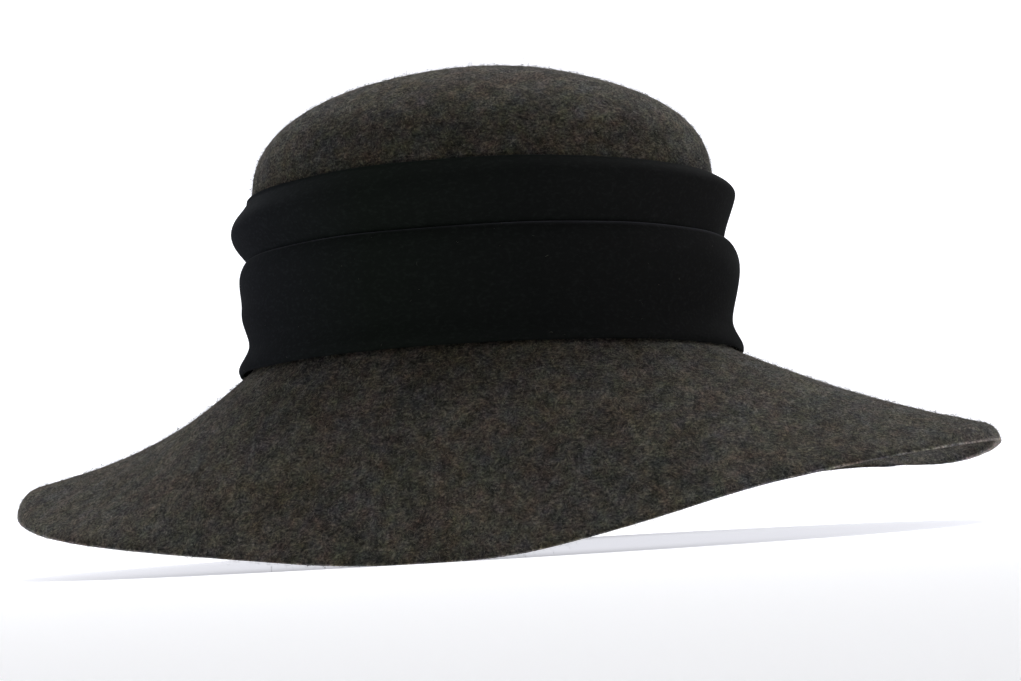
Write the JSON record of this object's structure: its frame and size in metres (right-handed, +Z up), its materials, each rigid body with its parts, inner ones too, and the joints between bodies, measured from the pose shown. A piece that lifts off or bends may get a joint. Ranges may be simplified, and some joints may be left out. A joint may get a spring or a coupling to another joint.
{
  "type": "floppy felt hat",
  "caption": "Floppy hat with a domed felt crown, a wide wavy brim and a broad velvet band in two folded tiers.",
  "frame": {"origin": "on the resting surface, under the middle of the brim's outline", "axes": "+Z up through the crown, -Y towards the front of the hat, +X towards the side whose brim lifts most"},
  "size_m": [0.368, 0.376, 0.1804],
  "materials": {
    "felt": "matt charcoal wool felt",
    "velvet": "black cotton velvet with a short pile"
  },
  "bodies": {
    "root": {"felt_body": "felt", "velvet_lower_tier": "velvet", "velvet_upper_tier": "velvet"}
  },
  "joints": []
}
